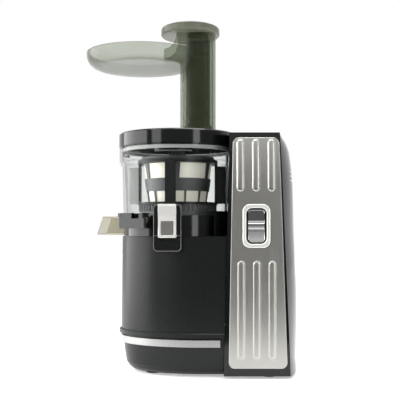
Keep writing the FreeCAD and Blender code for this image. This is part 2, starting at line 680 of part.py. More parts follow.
bracket = spout_box("BracketBody", "6.6", "26", "5", "bowl_r_low + 2", "0", "bowl_bottom + 12.5")
node(cut("GateBracket", bracket, spout_rod("BracketBore", "1.52", "60")), "gate_bracket")
node(spout_rod("GatePin", "1.5", "44"), "gate_pin")
gate_parts = [
    spout_box("GatePlate", "4.6", "40", "11.6", "gate_reach + 1.3", "2", "bowl_bottom - 0.2"),
    spout_box("GateHead", "4.6", "20", "8", "gate_reach + 1.3", "-8", "bowl_bottom + 10"),
    spout_box("GateArmLeft", "14", "5.4", "4.8", "gate_pivot_r - 2.4", "-17", "gate_pivot_z - 2.4"),
    spout_box("GateArmRight", "14", "5.4", "4.8", "gate_pivot_r - 2.4", "17", "gate_pivot_z - 2.4"),
    spout_box("GateCheek", "4.6", "6", "6", "gate_reach + 1.3", "17", "bowl_bottom + 10"),
]
node(cut("Gate", fuse("GateForm", *gate_parts), spout_rod("GateBore", "1.57", "60")), "juice_gate")
node(spout_box("GateSeal", "1.2", "20", "10", "gate_reach + 0.08", "0", "bowl_bottom + 1.2"), "gate_seal")

# --- latches, one on each side ------------------------------------------------------------------
base_block = end_solid("BaseBlock", [("lip_top - 6", "0.3"), ("base_top + 0.15", "0.3 - base_draft")])
for side, label in ((-1, "front"), (1, "back")):
    seat_outline = [
        ("-seat_w / 2", "seat_low"),
        ("seat_w / 2", "seat_low"),
        ("seat_w / 2", "seat_high"),
        ("-seat_w / 2", "seat_high"),
    ]
    seat = prism("Seat", "XZ_Plane", seat_outline, "22", "latch_x", f"{side} * (seat_y - 11)", corners="4.5")
    opening = box("SeatWindow", "22.4", "60", "35", "latch_x", f"{side} * seat_y", "latch_pin_z - 4.4")
    bowl_gap = cyl("SeatBowlGap", "bowl_r_low + 1.4", "60", "axis_x", "0", "base_top + 0.14")
    pin_start = ("latch_x - 15", f"{side} * latch_pin_y", "latch_pin_z")
    pin_bore = cyl("SeatBore", "1.22", "30", *pin_start, (0, 1, 0), 90)
    node(cut("LatchSeat", seat, opening, bowl_gap, base_block, pin_bore), f"latch_seat_{label}")

    sheet_side = [
        (f"{side} * 75.4", "163.6"),
        (f"{side} * 75.4", "185.6"),
        (f"{side} * 79.4", "202.4"),
        (f"{side} * 77.2", "202.4"),
        (f"{side} * 73.0", "186.4"),
        (f"{side} * 73.0", "163.6"),
    ]
    hook_side = [
        (f"{side} * 74.2", "190"),
        (f"{side} * 68.4", "190"),
        (f"{side} * 68.4", "185.4"),
        (f"{side} * 73.2", "185.4"),
    ]
    lug_side = [
        (f"{side} * 73.2", "163.8"),
        (f"{side} * 67.4", "163.8"),
        (f"{side} * 67.4", "168.2"),
        (f"{side} * 73.2", "168.2"),
    ]
    lever_form = fuse(
        "LeverForm",
        prism("LeverSheet", "YZ_Plane", sheet_side, "lever_w", "latch_x"),
        prism("LeverHook", "YZ_Plane", hook_side, "hook_w", "latch_x"),
        prism("LeverLug", "YZ_Plane", lug_side, "hook_w", "latch_x"),
    )
    lever_bore = cyl("LeverBore", "1.26", "30", *pin_start, (0, 1, 0), 90)
    face_cut = box("LeverFace", "15.4", "1.6", "17", "latch_x", f"{side} * 75.4", "166")
    fold = box("LeverFold", "30", "1.6", "1", "latch_x", f"{side} * 75.4", "185.4")
    node(cut("Lever", lever_form, lever_bore, face_cut, fold), f"latch_lever_{label}")
pins = [cyl("LatchPin", "1.2", "29.6", "latch_x - 14.8", f"{side} * latch_pin_y", "latch_pin_z", (0, 1, 0), 90)
        for side in (-1, 1)]
node(fuse("LatchPins", *pins), "latch_pins")

# --- strainer and wiper -------------------------------------------------------------------------
slope = "(strain_r_high - strain_r_low) / (256 - strain_low)"
strainer_profile = [
    ("10.58", "strain_low - 3.3"),
    ("strain_r_low", "strain_low - 3.3"),
    ("strain_r_low", "strain_low"),
    ("strain_r_high", "256"),
    ("45.2", "257"),
    ("45.2", "strain_high"),
    ("42.6", "strain_high"),
    ("strain_r_high - 1.6", "256"),
    ("strain_r_low - 1.6", "strain_low + 0.2"),
    ("10.58", "strain_low + 0.2"),
]
windows = []
for low, high, half, count in (("204.8", "220", "8.6", 6), ("235.4", "253.6", "18", 3)):
    window_bar = [("-55", f"-{half}"), ("55", f"-{half}"), ("55", half), ("-55", half)]
    for i in range(count):
        height, middle, way = f"{high} - {low}", f"({low} + {high}) / 2", 180.0 / count * i
        windows.append(prism("WindowBar", "XY_Plane", window_bar, height, "axis_x", "0", middle, spin=way))
pulp_hole = cyl("StrainerDrop", "4.6", "20", chute_x, chute_y, "strain_low - 8")
node(cut("StrainerFrame", lathe("StrainerShell", strainer_profile), pulp_hole, *windows), "strainer_frame")
mesh_profile = [
    (f"strain_r_low - 1.62 + 3.6 * {slope}", "strain_low + 3.6"),
    (f"strain_r_high - 1.62 - 1.4 * {slope}", "254.6"),
    (f"strain_r_high - 2.02 - 1.4 * {slope}", "254.6"),
    (f"strain_r_low - 2.02 + 3.6 * {slope}", "strain_low + 3.6"),
]
node(lathe("StrainerMesh", mesh_profile), "strainer_mesh")

WAY_IDLER = 0.0
AUGER_PHASE = 0.0
m = val("mesh_m")
z_auger, z_idler, z_ring = val("auger_teeth"), val("idler_teeth"), val("ring_teeth")
idler_phase = meshed(AUGER_PHASE, z_auger, z_idler, WAY_IDLER)
ring_phase = meshed_ring(idler_phase, z_idler, z_ring, WAY_IDLER)
auger_gear = feature("AugerGear", gear_blank(z_auger, m, 6.4, val("shaft_r") + 0.02, AUGER_PHASE))
node(spin(auger_gear, 0, z="bowl_floor + 1.4"), "auger_gear")
idler_gear = feature("IdlerGear", gear_blank(z_idler, m, 6.0, 2.55, idler_phase))
node(spin(idler_gear, 0, f"axis_x + {idler_off}", "0", "bowl_floor + 1.6"), "idler_gear")
pin_profile = [("0", "0.02"), ("2.5", "0.02"), ("2.5", "8"), ("3.4", "8"), ("3.4", "9"), ("0", "9")]
node(lathe("IdlerPin", pin_profile, f"axis_x + {idler_off}", "0", "bowl_floor"), "idler_pin")

ring_gear = feature("RingGear", ring_gear_blank(z_ring, m, 6.2, val("ring_r"), ring_phase))
spin(ring_gear, 0, z="bowl_floor + 1.6")
ring_wall = ring("RingWall", "ring_r", "ring_r - 3.4", "15.2", z="bowl_floor + 7.7")
crown_wires = [gear_wire(56, 1.7, 0.4, 0.7, 0.4, 0.0), circle_wire(val("ring_r") - 0.5)]
ring_teeth = Part.makeFace(crown_wires, "Part::FaceMakerBullseye").extrude(Vector(0, 0, 8))
ring_crown = spin(feature("RingCrown", ring_teeth), 0, z="195.4")
node(fuse("WiperRing", ring_gear, ring_wall, ring_crown), "wiper_ring")


def around(name, r_in, r_out, width, low, high, way):
    """A radial block about the auger axis."""
    half = f"({width}) / 2"
    outline = [(r_in, f"-{half}"), (r_out, f"-{half}"), (r_out, half), (r_in, half)]
    height, middle = f"({high}) - ({low})", f"(({low}) + ({high})) / 2"
    return prism(name, "XY_Plane", outline, height, "axis_x", "0", middle, spin=way)


cage = [
    ring("CageTop", "49.6", "46.4", "4.4", z="254"),
    ring("CageFoot", "49.6", "46.4", "3", z="203.5"),
]
for way, width in ((-99.0, "13"), (81.0, "13"), (171.0, "5"), (-9.0, "5")):
    cage.append(around("CagePost", "46.5", "49.5", width, "204", "256", way))
cage.append(around("Scraper", "49", "brush_r - 1", "3", "brush_low + 2", "brush_high - 1", -9.0))
node(fuse("Cage", *cage), "wiper_frame")
node(around("Blade", "49.62", "brush_r", "2.6", "brush_low + 2", "brush_high - 1", 171.0), "wiper_blade")

# --- auger and drive ----------------------------------------------------------------------------
auger_profile = [
    ("0", "266"),
    ("3.1", "266"),
    ("3.1", "271"),
    ("8", "271"),
    ("11", "262"),
    ("16", "240"),
    ("24", "212"),
    ("27", "strain_low + 1.2"),
    ("10.5", "strain_low + 1.2"),
    ("10.5", "bowl_floor + 8"),
    ("shaft_r + 0.02", "bowl_floor + 8"),
    ("shaft_r + 0.02", "199"),
    ("0", "199"),
]
core = lathe("AugerCore", auger_profile)
TURN_PITCH = 34.0
helix = Part.makeLongHelix(TURN_PITCH, 58.0, 20.0)
flight_corners = [Vector(8, 0, -2.6), Vector(46, 0, -1.0), Vector(46, 0, 1.0), Vector(8, 0, 2.6)]
flight_section = Part.makePolygon(flight_corners + flight_corners[:1])
flight = Part.Wire(helix.Edges).makePipeShell([flight_section], True, True)
flight_form = spin(feature("Flight", flight), 0, z="strain_low + 4")
envelope_profile = [
    ("0", "strain_low + 1.3"),
    (f"strain_r_low - 3.2 + 1.3 * {slope}", "strain_low + 1.3"),
    (f"strain_r_high - 3.2 - 1.0 * {slope}", "255"),
    ("strain_r_high - 6", "261"),
    ("0", "261"),
]
flight_trim = common("FlightTrim", flight_form, lathe("FlightEnvelope", envelope_profile))
node(fuse("Auger", core, flight_trim), "auger")

shaft_profile = [
    ("0", "139"),
    ("shaft_r", "139"),
    ("shaft_r", "198.6"),
    ("0", "198.6"),
]
node(lathe("DriveShaft", shaft_profile), "drive_shaft")

OUT_TEETH, LOW_TEETH, HIGH_TEETH = 33, (52, 12), (40, 14)
P2_R = 1.5 * (OUT_TEETH + HIGH_TEETH[1]) / 2
P1_R = 0.8 * (LOW_TEETH[0] + 10) / 2
MID = 1.0 * (LOW_TEETH[1] + HIGH_TEETH[0]) / 2
p1_way = math.degrees(math.acos((P1_R**2 + P2_R**2 - MID**2) / (2 * P1_R * P2_R)))
p1 = Vector(P1_R * math.cos(math.radians(p1_way)), P1_R * math.sin(math.radians(p1_way)), 0)
p2 = Vector(P2_R, 0, 0)
mid_way = math.degrees(math.atan2(p2.y - p1.y, p2.x - p1.x))
high_small_phase = meshed(0.0, OUT_TEETH, HIGH_TEETH[1], 0.0)
low_small_phase = meshed(high_small_phase, HIGH_TEETH[0], LOW_TEETH[1], mid_way + 180.0)
pinion_phase = meshed(low_small_phase, LOW_TEETH[0], 10, p1_way + 180.0)
p1_x, p1_y = f"axis_x + {p1.x:.6f}", f"{p1.y:.6f}"
p2_x = f"axis_x + {p2.x:.6f}"



def gear(name, teeth, module, width, bore, phase, x, y, z):
    """A spur gear standing on x, y, z."""
    return spin(feature(name, gear_blank(teeth, module, width, bore, phase)), 0, x, y, z)


output_bore = val("shaft_r") + 0.02
node(gear("OutputGear", OUT_TEETH, 1.5, 9.0, output_bore, 0.0, "axis_x", "0", "140"), "output_gear")
high_big = gear("HighBig", HIGH_TEETH[0], 1.0, 6.0, 3.05, high_small_phase, p2_x, "0", "131")
high_hub = ring("HighHub", "7", "3.05", "3.2", p2_x, "0", "136.5")
high_small = gear("HighSmall", HIGH_TEETH[1], 1.5, 10.5, 3.05, high_small_phase, p2_x, "0", "139.4")
node(fuse("GearHigh", high_big, high_hub, high_small), "gear_high")
low_big = gear("LowBig", LOW_TEETH[0], 0.8, 6.0, 2.55, low_small_phase, p1_x, p1_y, "122.6")
low_hub = ring("LowHub", "4.4", "2.55", "2.2", p1_x, p1_y, "128.2")
low_small = gear("LowSmall", LOW_TEETH[1], 1.0, 8.0, 2.55, low_small_phase, p1_x, p1_y, "130.2")
node(fuse("GearLow", low_big, low_hub, low_small), "gear_low")
gear_pins = [
    lathe("LowPin", [("0", "118"), ("2.5", "118"), ("2.5", "139"), ("0", "139")], p1_x, p1_y),
    lathe("HighPin", [("0", "118"), ("3", "118"), ("3", "151.8"), ("0", "151.8")], p2_x, "0"),
]
node(fuse("GearPins", *gear_pins), "gear_pins")

case = plate("Case", "89.2", "78", "33", "axis_x + 14.8", "6", "117", "9")
case_room = plate("CaseRoom", "84.4", "73", "34", "axis_x + 14.8", "6", "120", "6.5")
case_hole = cyl("CaseHole", "6.5", "20", "axis_x", "0", "110")
low_seat = cyl("LowSeat", "2.52", "20", p1_x, p1_y, "117.9")
high_seat = cyl("HighSeat", "3.02", "20", p2_x, "0", "117.9")
node(cut("GearCase", case, case_room, case_hole, low_seat, high_seat), "gearbox_housing")
lid_plate = plate("LidPlate", "89.2", "78", "3", "axis_x + 14.8", "6", "150.05", "9")
tower = cyl("Tower", "10.4", "14", "axis_x", "0", "150.05")
tower_bore = cyl("TowerBore", "shaft_r + 0.05", "30", "axis_x", "0", "145")
seal_seat = cyl("SealSeat", "8.02", "8", "axis_x", "0", "158.98")
cover_socket = cyl("CoverSocket", "3.02", "4", p2_x, "0", "148")
gear_cover = fuse("GearCoverForm", lid_plate, tower)
node(cut("GearCover", gear_cover, tower_bore, seal_seat, cover_socket), "gearbox_cover")
node(ring("OilSeal", "8", "shaft_r + 0.06", "5", z="159"), "oil_seal")

# --- motor --------------------------------------------------------------------------------------
stack = plate("Stack", "84", "84", "36", "axis_x", "0", "56", "8")
node(cut("Stator", stack, cyl("StackBore", "24", "60", "axis_x", "0", "50")), "motor_stator")
coil_profile = [("26", "0"), ("36", "0"), ("38.5", "4"), ("36", "10"), ("28", "10"), ("26", "7")]
coils = [lathe("Coil", coil_profile, z=z) for z in ("92.05", "45.9")]
node(fuse("Coils", *coils), "motor_windings")
rotor_profile = [
    ("4.02", "0"),
    ("23.6", "0"),
    ("23.6", "38"),
    ("20", "38"),
    ("20", "42"),
    ("17", "42"),
    ("17", "38"),
    ("4.02", "38"),
]
node(lathe("Rotor", rotor_profile, z="55"), "motor_rotor")
rod_profile = [("0", "22"), ("4", "22"), ("4", "119"), ("2.6", "119"), ("2.6", "131"), ("0", "131")]
motor_shaft = lathe("ShaftRod", rod_profile)
pinion = gear("Pinion", 10, 0.8, 8.0, 0, pinion_phase, "axis_x", "0", "122")
node(fuse("MotorShaft", motor_shaft, pinion), "motor_shaft")
brackets = []
for bottom in ("106", "39"):
    bracket_plate = plate("BracketPlate", "84", "84", "3", "axis_x", "0", bottom, "8")
    bracket_hole = cyl("BracketHole", "11.02", "10", "axis_x", "0", f"{bottom} - 3")
    brackets.append(cut("BracketRing", bracket_plate, bracket_hole))
for px in ("-36", "36"):
    for py in ("-36", "36"):
        brackets.append(cyl("UpperPost", "3.2", "14.1", f"axis_x + {px}", py, "92.05"))
        brackets.append(cyl("LowerPost", "3.2", "14.1", f"axis_x + {px}", py, "41.85"))
for px in ("-26", "26"):
    for py in ("-27", "27"):
        brackets.append(cyl("CasePost", "3.2", "8.03", f"axis_x + {px}", py, "108.95"))
node(fuse("Brackets", *brackets), "motor_brackets")
bearings = [ring("BearingHigh", "11", "4.04", "7", z="104"), ring("BearingLow", "11", "4.04", "7", z="37")]
node(fuse("Bearings", *bearings), "motor_bearings")
fan = [ring("FanHub", "8", "4.02", "10", z="24"), ring("FanDisc", "35", "7", "1.6", z="32.4")]
for i in range(9):
    fan.append(around("FanBlade", "7.5", "34.5", "1.6", "24.4", "33", 40.0 * i))
node(fuse("Fan", *fan), "motor_fan")
MOUNT_SPOTS = [("-30", "-30"), ("-30", "30"), ("30", "-30"), ("30", "30")]
pillars = [cyl("Pillar", "3.2", "33.36", f"axis_x + {px}", py, "foot_h + 2.42") for px, py in MOUNT_SPOTS]
node(fuse("Pillars", *pillars), "motor_mounts")

board = box("Board", "1.6", "70", "144", "96", "0", "foot_h + 2.42")
chips = [box("Chip", "9", "14", "20", "90.6", "-20", "70"), box("Relay", "14", "16", "20", "88", "12", "78"),
         box("Terminal", "9", "30", "8", "90.6", "0", "136")]
node(fuse("ControlBoard", board, *chips), "control_board")
node(cyl("Capacitor", "16", "60", "74", "30", "foot_h + 2.42"), "run_capacitor")

# --- lid, hopper and pusher ---------------------------------------------------------------------
lid_profile = [
    ("0", "lid_top - 3.6"),
    ("66.2", "lid_top - 3.6"),
    ("66.2", "lid_skirt"),
    ("68.6", "lid_skirt"),
    ("68.6", "lid_top - 5"),
    ("lid_r - 2.6", "lid_top - 6"),
    ("lid_r - 2.6", "rim_top + 0.4"),
    ("lid_r", "rim_top + 0.4"),
    ("lid_r", "lid_top - 1.6"),
    ("lid_r - 1.6", "lid_top"),
    ("0", "lid_top"),
]
lid_form = lathe("LidForm", lid_profile)
lid_pin = cyl("LidPin", "3", "22", "axis_x", "0", "267")
tube_gap = plate("TubeGap", "tube_w + 0.16", "tube_d + 0.16", "60", "tube_x", "0", "250", "tube_corner")
node(cut("LidRing", fuse("LidBlock", lid_form, lid_pin), tube_gap), "lid_ring")
node(ring("LidSeal", "rim_r - 3", "bowl_r_high - bowl_wall + 0.4", "4", z="lid_skirt - 4.3"), "lid_seal")

tube = plate("Tube", "tube_w", "tube_d", "tube_top - tube_bottom", "tube_x", "0", "tube_bottom", "tube_corner")
foot_w, foot_d = "tube_w + 10", "tube_d + 10"
tube_foot = plate("TubeFoot", foot_w, foot_d, "3", "tube_x", "0", "lid_top + 0.05", "tube_corner + 3")
TRAY_CURVE = 15.0
TRAY_SKIN = 2.4


def tray_profile(r, corner, low, high):
    """Half section of the round tray, its bottom edge rounded in short chords."""
    points = [("0", low)]
    for step in range(7):
        turn = math.radians(15.0 * step)
        reach, rise = corner * math.sin(turn), corner * (1 - math.cos(turn))
        points.append((f"{r} - {corner} + {reach:.4f}", f"{low} + {rise:.4f}"))
    return points + [(f"{r}", high), ("0", high)]


tray = lathe("TrayForm", tray_profile(69.0, TRAY_CURVE, "tray_rim - 18.4", "tray_rim"), "tray_left + 69")
cave_profile = tray_profile(69.0 - TRAY_SKIN, TRAY_CURVE - TRAY_SKIN, "tray_rim - 16", "tray_rim + 3")
tray_cave = lathe("TrayCave", cave_profile, "tray_left + 69")
wing_side = [
    ("-33", "tray_rim - 17"),
    ("-33", "tray_rim"),
    ("-26.5", "tray_rim + 2.4"),
    ("-21.4", "tray_rim + 7.4"),
    ("-18.4", "tray_rim + 14"),
    ("-17", "tube_top"),
    ("8", "tube_top"),
    ("8", "tray_rim - 17"),
]
wings = prism("Wings", "XZ_Plane", wing_side, "tube_d")
bore_w, bore_d = "tube_w - tube_wall * 2", "tube_d - tube_wall * 2"
tube_room = plate("TubeRoom", bore_w, bore_d, "200", "tube_x", "0", "260", "tube_corner - 2")
mouth = box("Mouth", "46", bore_d, "60", "-22", "0", "376")
hopper_form = fuse("HopperForm", tube, tube_foot, cut("TrayDish", tray, tray_cave), wings)
node(cut("Hopper", hopper_form, tube_room, mouth), "hopper")

push_h = "push_flange - push_bottom"
push_side = plate("PushSide", "push_w", "push_d", f"{push_h} + 0.2", "tube_x", "0", "push_bottom", "11")
push_ring = plate("PushRing", "push_w + 4", "push_d + 4", "4", "tube_x", "0", "push_bottom", "13")
room_w, room_d = "push_w - 4.4", "push_d - 4.4"
push_room = plate("PushRoom", room_w, room_d, f"{push_h} - 1", "tube_x", "0", "push_bottom + 2.6", "9")
push_flange = oval("PushFlange", "flange_x", "flange_rx", "flange_ry", "push_flange", "total_top", 2.4)
push_form = fuse("PushForm", push_side, push_ring, push_flange)
node(cut("Pusher", push_form, push_room), "pusher")

doc.recompute()
for obj in doc.Objects:
    assert "Invalid" not in obj.State and "Error" not in obj.State, obj.Label
os.makedirs("parts", exist_ok=True)
for obj in NODES:
    assert obj.Shape.isValid() and not obj.Shape.isNull(), obj.Label
    obj.Shape.exportStep(f"parts/{obj.Label}.step")
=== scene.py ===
"""Looks of the upright slow juicer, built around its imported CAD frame.

Everything is in metres in the CAD frame: +Z up, -Y towards the user, +X towards the column.
"""

import json
import math

import bmesh
import bpy
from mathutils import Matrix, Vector


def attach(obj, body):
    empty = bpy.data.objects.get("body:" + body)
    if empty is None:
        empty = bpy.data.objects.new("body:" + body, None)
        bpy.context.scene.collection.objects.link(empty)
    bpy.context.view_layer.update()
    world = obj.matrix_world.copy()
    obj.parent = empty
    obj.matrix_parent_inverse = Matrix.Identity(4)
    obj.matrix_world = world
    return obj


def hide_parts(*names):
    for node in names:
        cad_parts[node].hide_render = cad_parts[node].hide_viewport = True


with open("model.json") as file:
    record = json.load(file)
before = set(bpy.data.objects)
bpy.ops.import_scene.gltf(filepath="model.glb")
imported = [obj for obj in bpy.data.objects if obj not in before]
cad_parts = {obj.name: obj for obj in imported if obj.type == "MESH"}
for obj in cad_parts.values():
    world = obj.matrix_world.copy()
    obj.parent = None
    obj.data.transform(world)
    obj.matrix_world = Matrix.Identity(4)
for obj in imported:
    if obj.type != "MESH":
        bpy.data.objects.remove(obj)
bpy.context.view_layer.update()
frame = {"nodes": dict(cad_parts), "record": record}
MM = 0.001
NODES = frame["nodes"]

# Sizes shared with the CAD model, in millimetres.
AXIS_X = -17.0
COL_HALF = 72.0
COL_TOP = 286.4
BEND_Z = 255.9
LEAN = 6.0
BEND_START = BEND_Z * 2 - COL_TOP


# --- node material helpers ----------------------------------------------------------------------
def new_material(name):
    """An empty node material and its tree."""
    mat = bpy.data.materials.new(name)
    mat.use_nodes = True
    mat.node_tree.nodes.clear()
    return mat, mat.node_tree


def stretched(tree, scale):
    """Object coordinates scaled per axis."""
    coords = tree.nodes.new("ShaderNodeTexCoord")
    mapping = tree.nodes.new("ShaderNodeMapping")
    mapping.inputs["Scale"].default_value = scale
    tree.links.new(coords.outputs["Object"], mapping.inputs["Vector"])
    return mapping.outputs["Vector"]


def noise(tree, scale, detail=4.0, rough=0.5, stretch=(1.0, 1.0, 1.0)):
    """A noise value on object coordinates."""
    n = tree.nodes.new("ShaderNodeTexNoise")
    n.inputs["Scale"].default_value = scale
    n.inputs["Detail"].default_value = detail
    n.inputs["Roughness"].default_value = rough
    tree.links.new(stretched(tree, stretch), n.inputs["Vector"])
    return n.outputs["Fac"]


def spread(tree, value, low, high, from_low=0.3, from_high=0.7):
    """Maps a noise value to a range."""
    r = tree.nodes.new("ShaderNodeMapRange")
    r.inputs["From Min"].default_value = from_low
    r.inputs["From Max"].default_value = from_high
    r.inputs["To Min"].default_value = low
    r.inputs["To Max"].default_value = high
    tree.links.new(value, r.inputs["Value"])
    return r.outputs["Result"]


def two_tone(tree, value, dark, light):
    """A colour between two tones."""
    ramp = tree.nodes.new("ShaderNodeValToRGB")
    ramp.color_ramp.elements[0].position = 0.3
    ramp.color_ramp.elements[1].position = 0.7
    ramp.color_ramp.elements[0].color = (*dark, 1.0)
    ramp.color_ramp.elements[1].color = (*light, 1.0)
    tree.links.new(value, ramp.inputs["Fac"])
    return ramp.outputs["Color"]


def bump(tree, value, strength, distance):
    """A normal from a height value."""
    b = tree.nodes.new("ShaderNodeBump")
    b.inputs["Strength"].default_value = strength
    b.inputs["Distance"].default_value = distance
    tree.links.new(value, b.inputs["Height"])
    return b.outputs["Normal"]


def shade(c, k):
    """A colour times a factor."""
    return tuple(min(1.0, v * k) for v in c)


def surface(name, colour, rough, metallic=0.0, grain=900.0, grain_depth=0.00004,
            grain_strength=0.25, variation=0.08, rough_swing=0.06, stretch=(1.0, 1.0, 1.0),
            specular=0.5, glow=0.0):
    """An opaque moulded, cast or metal surface with fine grain and uneven tone and gloss."""
    mat, tree = new_material(name)
    out = tree.nodes.new("ShaderNodeOutputMaterial")
    p = tree.nodes.new("ShaderNodeBsdfPrincipled")
    p.inputs["Metallic"].default_value = metallic
    p.inputs["Specular IOR Level"].default_value = specular
    # glow is emission in the surface's own colour: painted light on the strainer mesh, and an
    # evenly white table top on the floor.
    p.inputs["Emission Color"].default_value = (*colour, 1.0)
    p.inputs["Emission Strength"].default_value = glow
    fine = noise(tree, grain, 3.0, 0.6, stretch)
    broad = noise(tree, 14.0, 3.0, 0.5)
    tone = two_tone(tree, broad, shade(colour, 1 - variation), shade(colour, 1 + variation))
    tree.links.new(tone, p.inputs["Base Color"])
    gloss = spread(tree, fine, rough - rough_swing, rough + rough_swing)
    tree.links.new(gloss, p.inputs["Roughness"])
    tree.links.new(bump(tree, fine, grain_strength, grain_depth), p.inputs["Normal"])
    tree.links.new(p.outputs["BSDF"], out.inputs["Surface"])
    return mat


def see_through(name, tint, body, facing, edge, rough, cloud=0.0):
    """Clear or smoky moulded plastic: mostly transparent face on, denser at its edges."""
    mat, tree = new_material(name)
    out = tree.nodes.new("ShaderNodeOutputMaterial")
    clear = tree.nodes.new("ShaderNodeBsdfTransparent")
    clear.inputs["Color"].default_value = (*tint, 1.0)
    p = tree.nodes.new("ShaderNodeBsdfPrincipled")
    broad = noise(tree, 18.0, 3.0, 0.5)
    fine = noise(tree, 220.0, 3.0, 0.5)
    tone = two_tone(tree, broad, shade(body, 0.9), shade(body, 1.1))
    tree.links.new(tone, p.inputs["Base Color"])
    tree.links.new(spread(tree, fine, rough * 0.8, rough * 1.3), p.inputs["Roughness"])
    tree.links.new(bump(tree, broad, 0.15, 0.0004), p.inputs["Normal"])
    weight = tree.nodes.new("ShaderNodeLayerWeight")
    weight.inputs["Blend"].default_value = 0.5
    depth = tree.nodes.new("ShaderNodeMath")
    depth.operation = "POWER"
    depth.inputs[1].default_value = 2.2
    tree.links.new(weight.outputs["Facing"], depth.inputs[0])
    density = spread(tree, depth.outputs["Value"], facing, edge, 0.0, 1.0)
    if cloud:
        add = tree.nodes.new("ShaderNodeMath")
        add.operation = "ADD"
        add.use_clamp = True
        tree.links.new(density, add.inputs[0])
        tree.links.new(spread(tree, broad, -cloud, cloud), add.inputs[1])
        density = add.outputs["Value"]
    mix = tree.nodes.new("ShaderNodeMixShader")
    tree.links.new(density, mix.inputs["Fac"])
    tree.links.new(clear.outputs["BSDF"], mix.inputs[1])
    tree.links.new(p.outputs["BSDF"], mix.inputs[2])
    tree.links.new(mix.outputs["Shader"], out.inputs["Surface"])
    return mat


# The look of each material slot. A slot with a tint is see-through, and the others are opaque.
LOOKS = {
    "matte_black": dict(colour=(0.0055, 0.0062, 0.0062), rough=0.3, grain=1500.0,
                        grain_strength=0.12, specular=0.26),
    "gloss_black": dict(colour=(0.0035, 0.0042, 0.0042), rough=0.1, grain=500.0,
                        grain_strength=0.02, rough_swing=0.03, specular=0.36),
    "brushed_silver": dict(colour=(0.44, 0.435, 0.41), rough=0.33, metallic=1.0, grain=160.0,
                           grain_depth=0.00002, grain_strength=0.10, variation=0.02,
                           rough_swing=0.05, stretch=(14.0, 14.0, 0.25)),
    "silver_plastic": dict(colour=(0.36, 0.36, 0.355), rough=0.3, metallic=0.8, grain=1400.0,
                           variation=0.03),
    "bright_silver": dict(colour=(0.93, 0.92, 0.88), rough=0.24, metallic=0.55, grain=2500.0,
                          grain_strength=0.01, variation=0.03, rough_swing=0.04),
    "chrome": dict(colour=(0.80, 0.80, 0.80), rough=0.1, metallic=1.0, grain=300.0,
                   grain_strength=0.02, variation=0.02, rough_swing=0.02),
    "clear": dict(tint=(0.965, 0.975, 0.97), body=(0.12, 0.125, 0.12), facing=0.03, edge=0.55,
                  rough=0.06),
    "smoke": dict(tint=(0.77, 0.79, 0.74), body=(0.10, 0.105, 0.088), facing=0.08, edge=0.85,
                  rough=0.10),
    "smoke_dark": dict(tint=(0.62, 0.64, 0.56), body=(0.06, 0.064, 0.05), facing=0.20, edge=0.90,
                       rough=0.12),
    "cream_clear": dict(tint=(0.86, 0.845, 0.78), body=(0.34, 0.32, 0.265), facing=0.26,
                        edge=0.85, rough=0.16, cloud=0.06),
    "silicone_grey": dict(colour=(0.46, 0.47, 0.46), rough=0.5, grain=500.0, variation=0.06),
    "rubber_black": dict(colour=(0.02, 0.02, 0.02), rough=0.7, grain=900.0, grain_strength=0.4),
    "grey_plastic": dict(colour=(0.10, 0.105, 0.105), rough=0.4, grain=1200.0),
    # The strainer mesh glows in its own cream colour: painted light that makes it look brightly
    # lit from behind.
    "mesh_steel": dict(colour=(0.76, 0.73, 0.64), rough=0.4, metallic=0.2, grain=420.0,
                       grain_depth=0.0002, grain_strength=0.7, variation=0.10,
                       stretch=(1.0, 1.0, 0.12), glow=0.3),
    "auger_grey": dict(colour=(0.05, 0.05, 0.053), rough=0.35, grain=700.0, variation=0.12),
    "steel": dict(colour=(0.56, 0.56, 0.57), rough=0.3, metallic=1.0, grain=500.0,
                  grain_strength=0.15, stretch=(1, 1, 8)),
    "copper": dict(colour=(0.50, 0.20, 0.08), rough=0.35, metallic=0.6, grain=420.0,
                   grain_depth=0.0003, grain_strength=0.6, stretch=(1, 1, 6)),
    "board": dict(colour=(0.03, 0.16, 0.07), rough=0.4, grain=260.0, variation=0.2),
    "white_plastic": dict(colour=(0.70, 0.70, 0.67), rough=0.42, grain=900.0, variation=0.04),
    "cast_alloy": dict(colour=(0.50, 0.51, 0.52), rough=0.48, metallic=1.0, grain=700.0,
                       grain_depth=0.0001, grain_strength=0.35),
}
SLOTS = {}
for name, look in LOOKS.items():
    make = see_through if "tint" in look else surface
    SLOTS[name] = make(name, **look)

slot_of = {row["node"]: row["material_slot"] for row in frame["record"]["subparts"]}
for name, obj in NODES.items():
    obj.data.materials.clear()
    obj.data.materials.append(SLOTS[slot_of[name]])


# --- mesh helpers -------------------------------------------------------------------------------
def add_object(name, verts, faces, slot, body, replaced=(), smooth=True):
    """A new piece from millimetre points, riding on a body."""
    mesh = bpy.data.meshes.new(name)
    mesh.from_pydata([tuple(c * MM for c in v) for v in verts], [], faces)
    bm = bmesh.new()
    bm.from_mesh(mesh)
    bmesh.ops.recalc_face_normals(bm, faces=bm.faces)
    bm.to_mesh(mesh)
    bm.free()
    for poly in mesh.polygons:
        poly.use_smooth = smooth
    mesh.materials.append(SLOTS[slot])
    obj = bpy.data.objects.new(name, mesh)
    bpy.context.scene.collection.objects.link(obj)
    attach(obj, body)
    if replaced:
        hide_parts(*replaced)
    return obj


SHARP_ANGLE = 32.0


def bevelled(obj, width, segments=3):
    """Rounds an object's sharp edges by a width in millimetres."""
    b = obj.modifiers.new("Round", "BEVEL")
    b.width = width * MM
    b.limit_method = "ANGLE"
    b.angle_limit = math.radians(SHARP_ANGLE)
    b.segments = segments
    b.harden_normals = False
    return obj


def rounded_outline(width, height, radius, steps=7):
    """Points of a rounded rectangle about the origin."""
    points = []
    for corner in range(4):
        cx = (width / 2 - radius) * (1 if corner in (0, 3) else -1)
        cz = (height / 2 - radius) * (1 if corner in (0, 1) else -1)
        for i in range(steps + 1):
            turn = math.radians(90.0 * corner + 90.0 * i / steps)
            points.append((cx + radius * math.cos(turn), cz + radius * math.sin(turn)))
    return points


